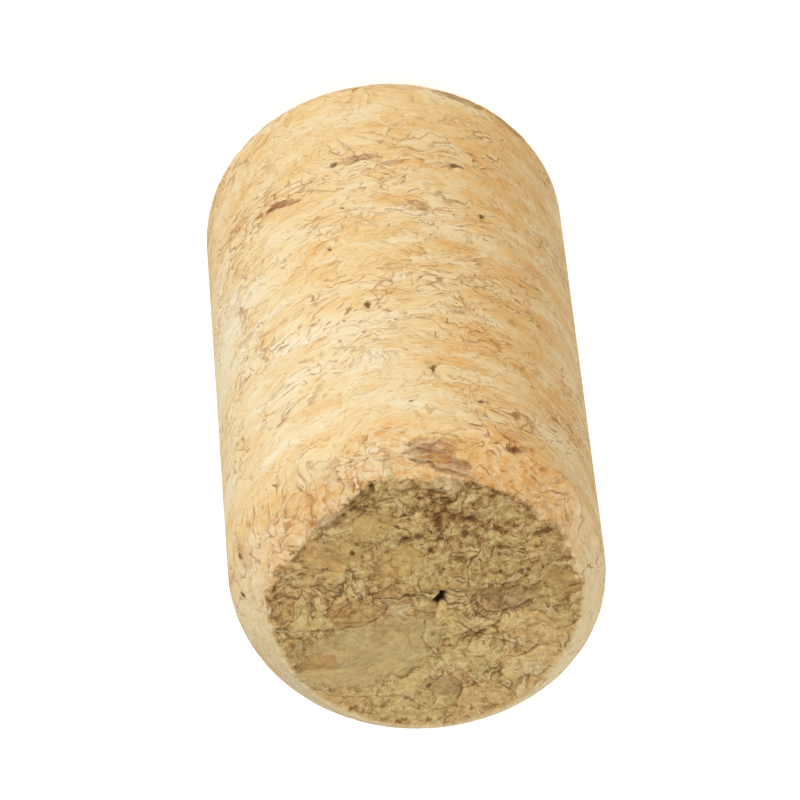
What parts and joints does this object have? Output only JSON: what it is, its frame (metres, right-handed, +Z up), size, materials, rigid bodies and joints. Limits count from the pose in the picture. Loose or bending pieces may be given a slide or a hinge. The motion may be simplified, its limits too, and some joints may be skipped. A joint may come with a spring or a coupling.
{
  "type": "cork stopper",
  "caption": "Straight round bottle stopper of pressed cork granules, with a bevelled edge at each end.",
  "frame": {"origin": "centre of the foot face, on the surface that the stopper stands on", "axes": "+Z up along the stopper's axis, from the foot face to the head face; X and Y are free"},
  "size_m": [0.022, 0.022, 0.04],
  "materials": {
    "cork": "matte, pressed granules"
  },
  "bodies": {
    "root": {"stopper": "cork"}
  },
  "joints": []
}
